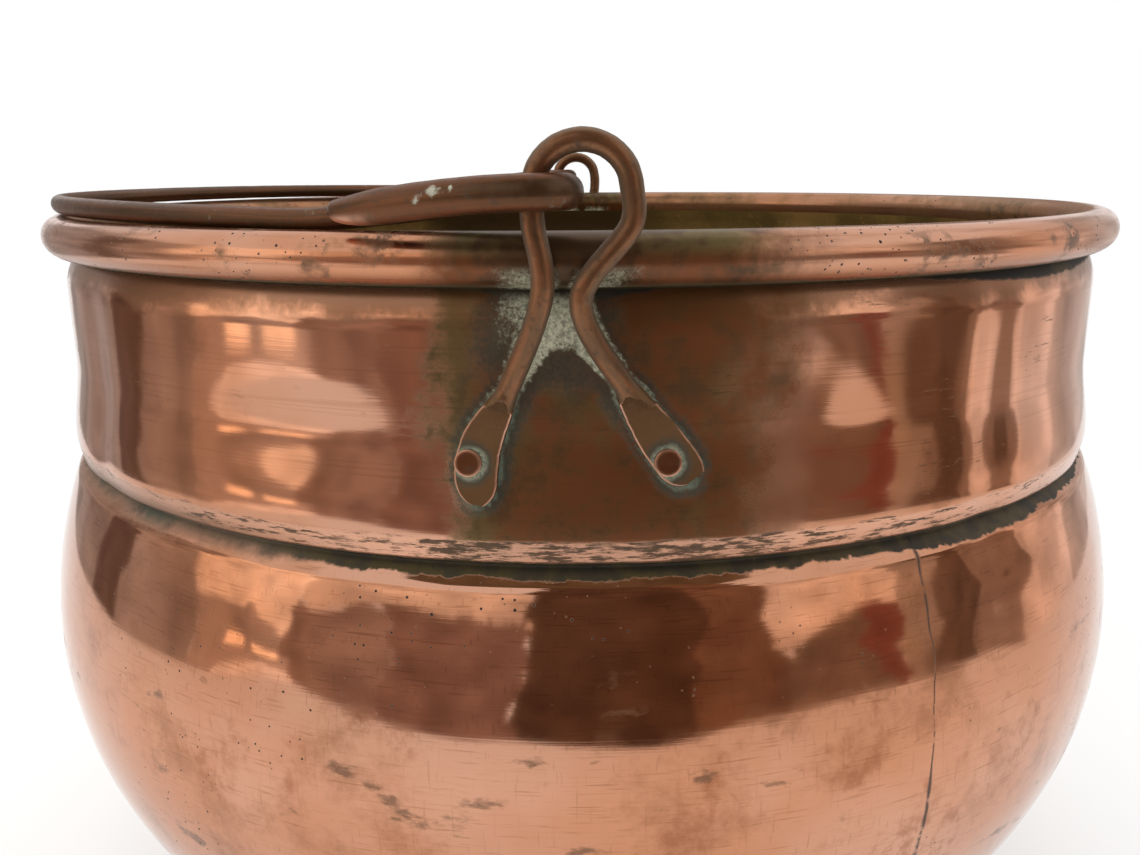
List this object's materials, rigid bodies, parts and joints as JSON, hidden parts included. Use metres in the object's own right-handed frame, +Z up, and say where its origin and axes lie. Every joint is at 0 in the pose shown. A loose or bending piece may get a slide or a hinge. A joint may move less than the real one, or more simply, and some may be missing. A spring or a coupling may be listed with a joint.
{
  "type": "copper cauldron",
  "caption": "Bulbous copper cauldron with an upright neck, a rolled rim, riveted rod ears and a swinging bail handle.",
  "frame": {"origin": "middle of the base's flat underside, on the surface that the cauldron stands on", "axes": "+Z up along the vessel's axis, -Y towards the front ear, -X towards the side that the bail is folded to"},
  "size_m": [0.3242, 0.333, 0.229],
  "materials": {
    "polished_copper": "polished, with fine scratches and patches of patina",
    "aged_copper": "forged and aged to brown, worn bright on edges",
    "iron_wire": "bare"
  },
  "bodies": {
    "vessel": {"body_wall": "polished_copper", "base_pan": "polished_copper", "rim_wire": "iron_wire", "front_ear": "aged_copper", "front_ear_left_rivet": "aged_copper", "front_ear_right_rivet": "aged_copper", "back_ear": "aged_copper", "back_ear_left_rivet": "aged_copper", "back_ear_right_rivet": "aged_copper"},
    "bail": {"bail": "aged_copper"}
  },
  "joints": [
    {"name": "bail_swing", "type": "hinge", "parent": "vessel", "child": "bail", "pos_m": [0, 0, 0.2182], "axis": [0, 1, 0], "range_deg": [0, 183]}
  ]
}
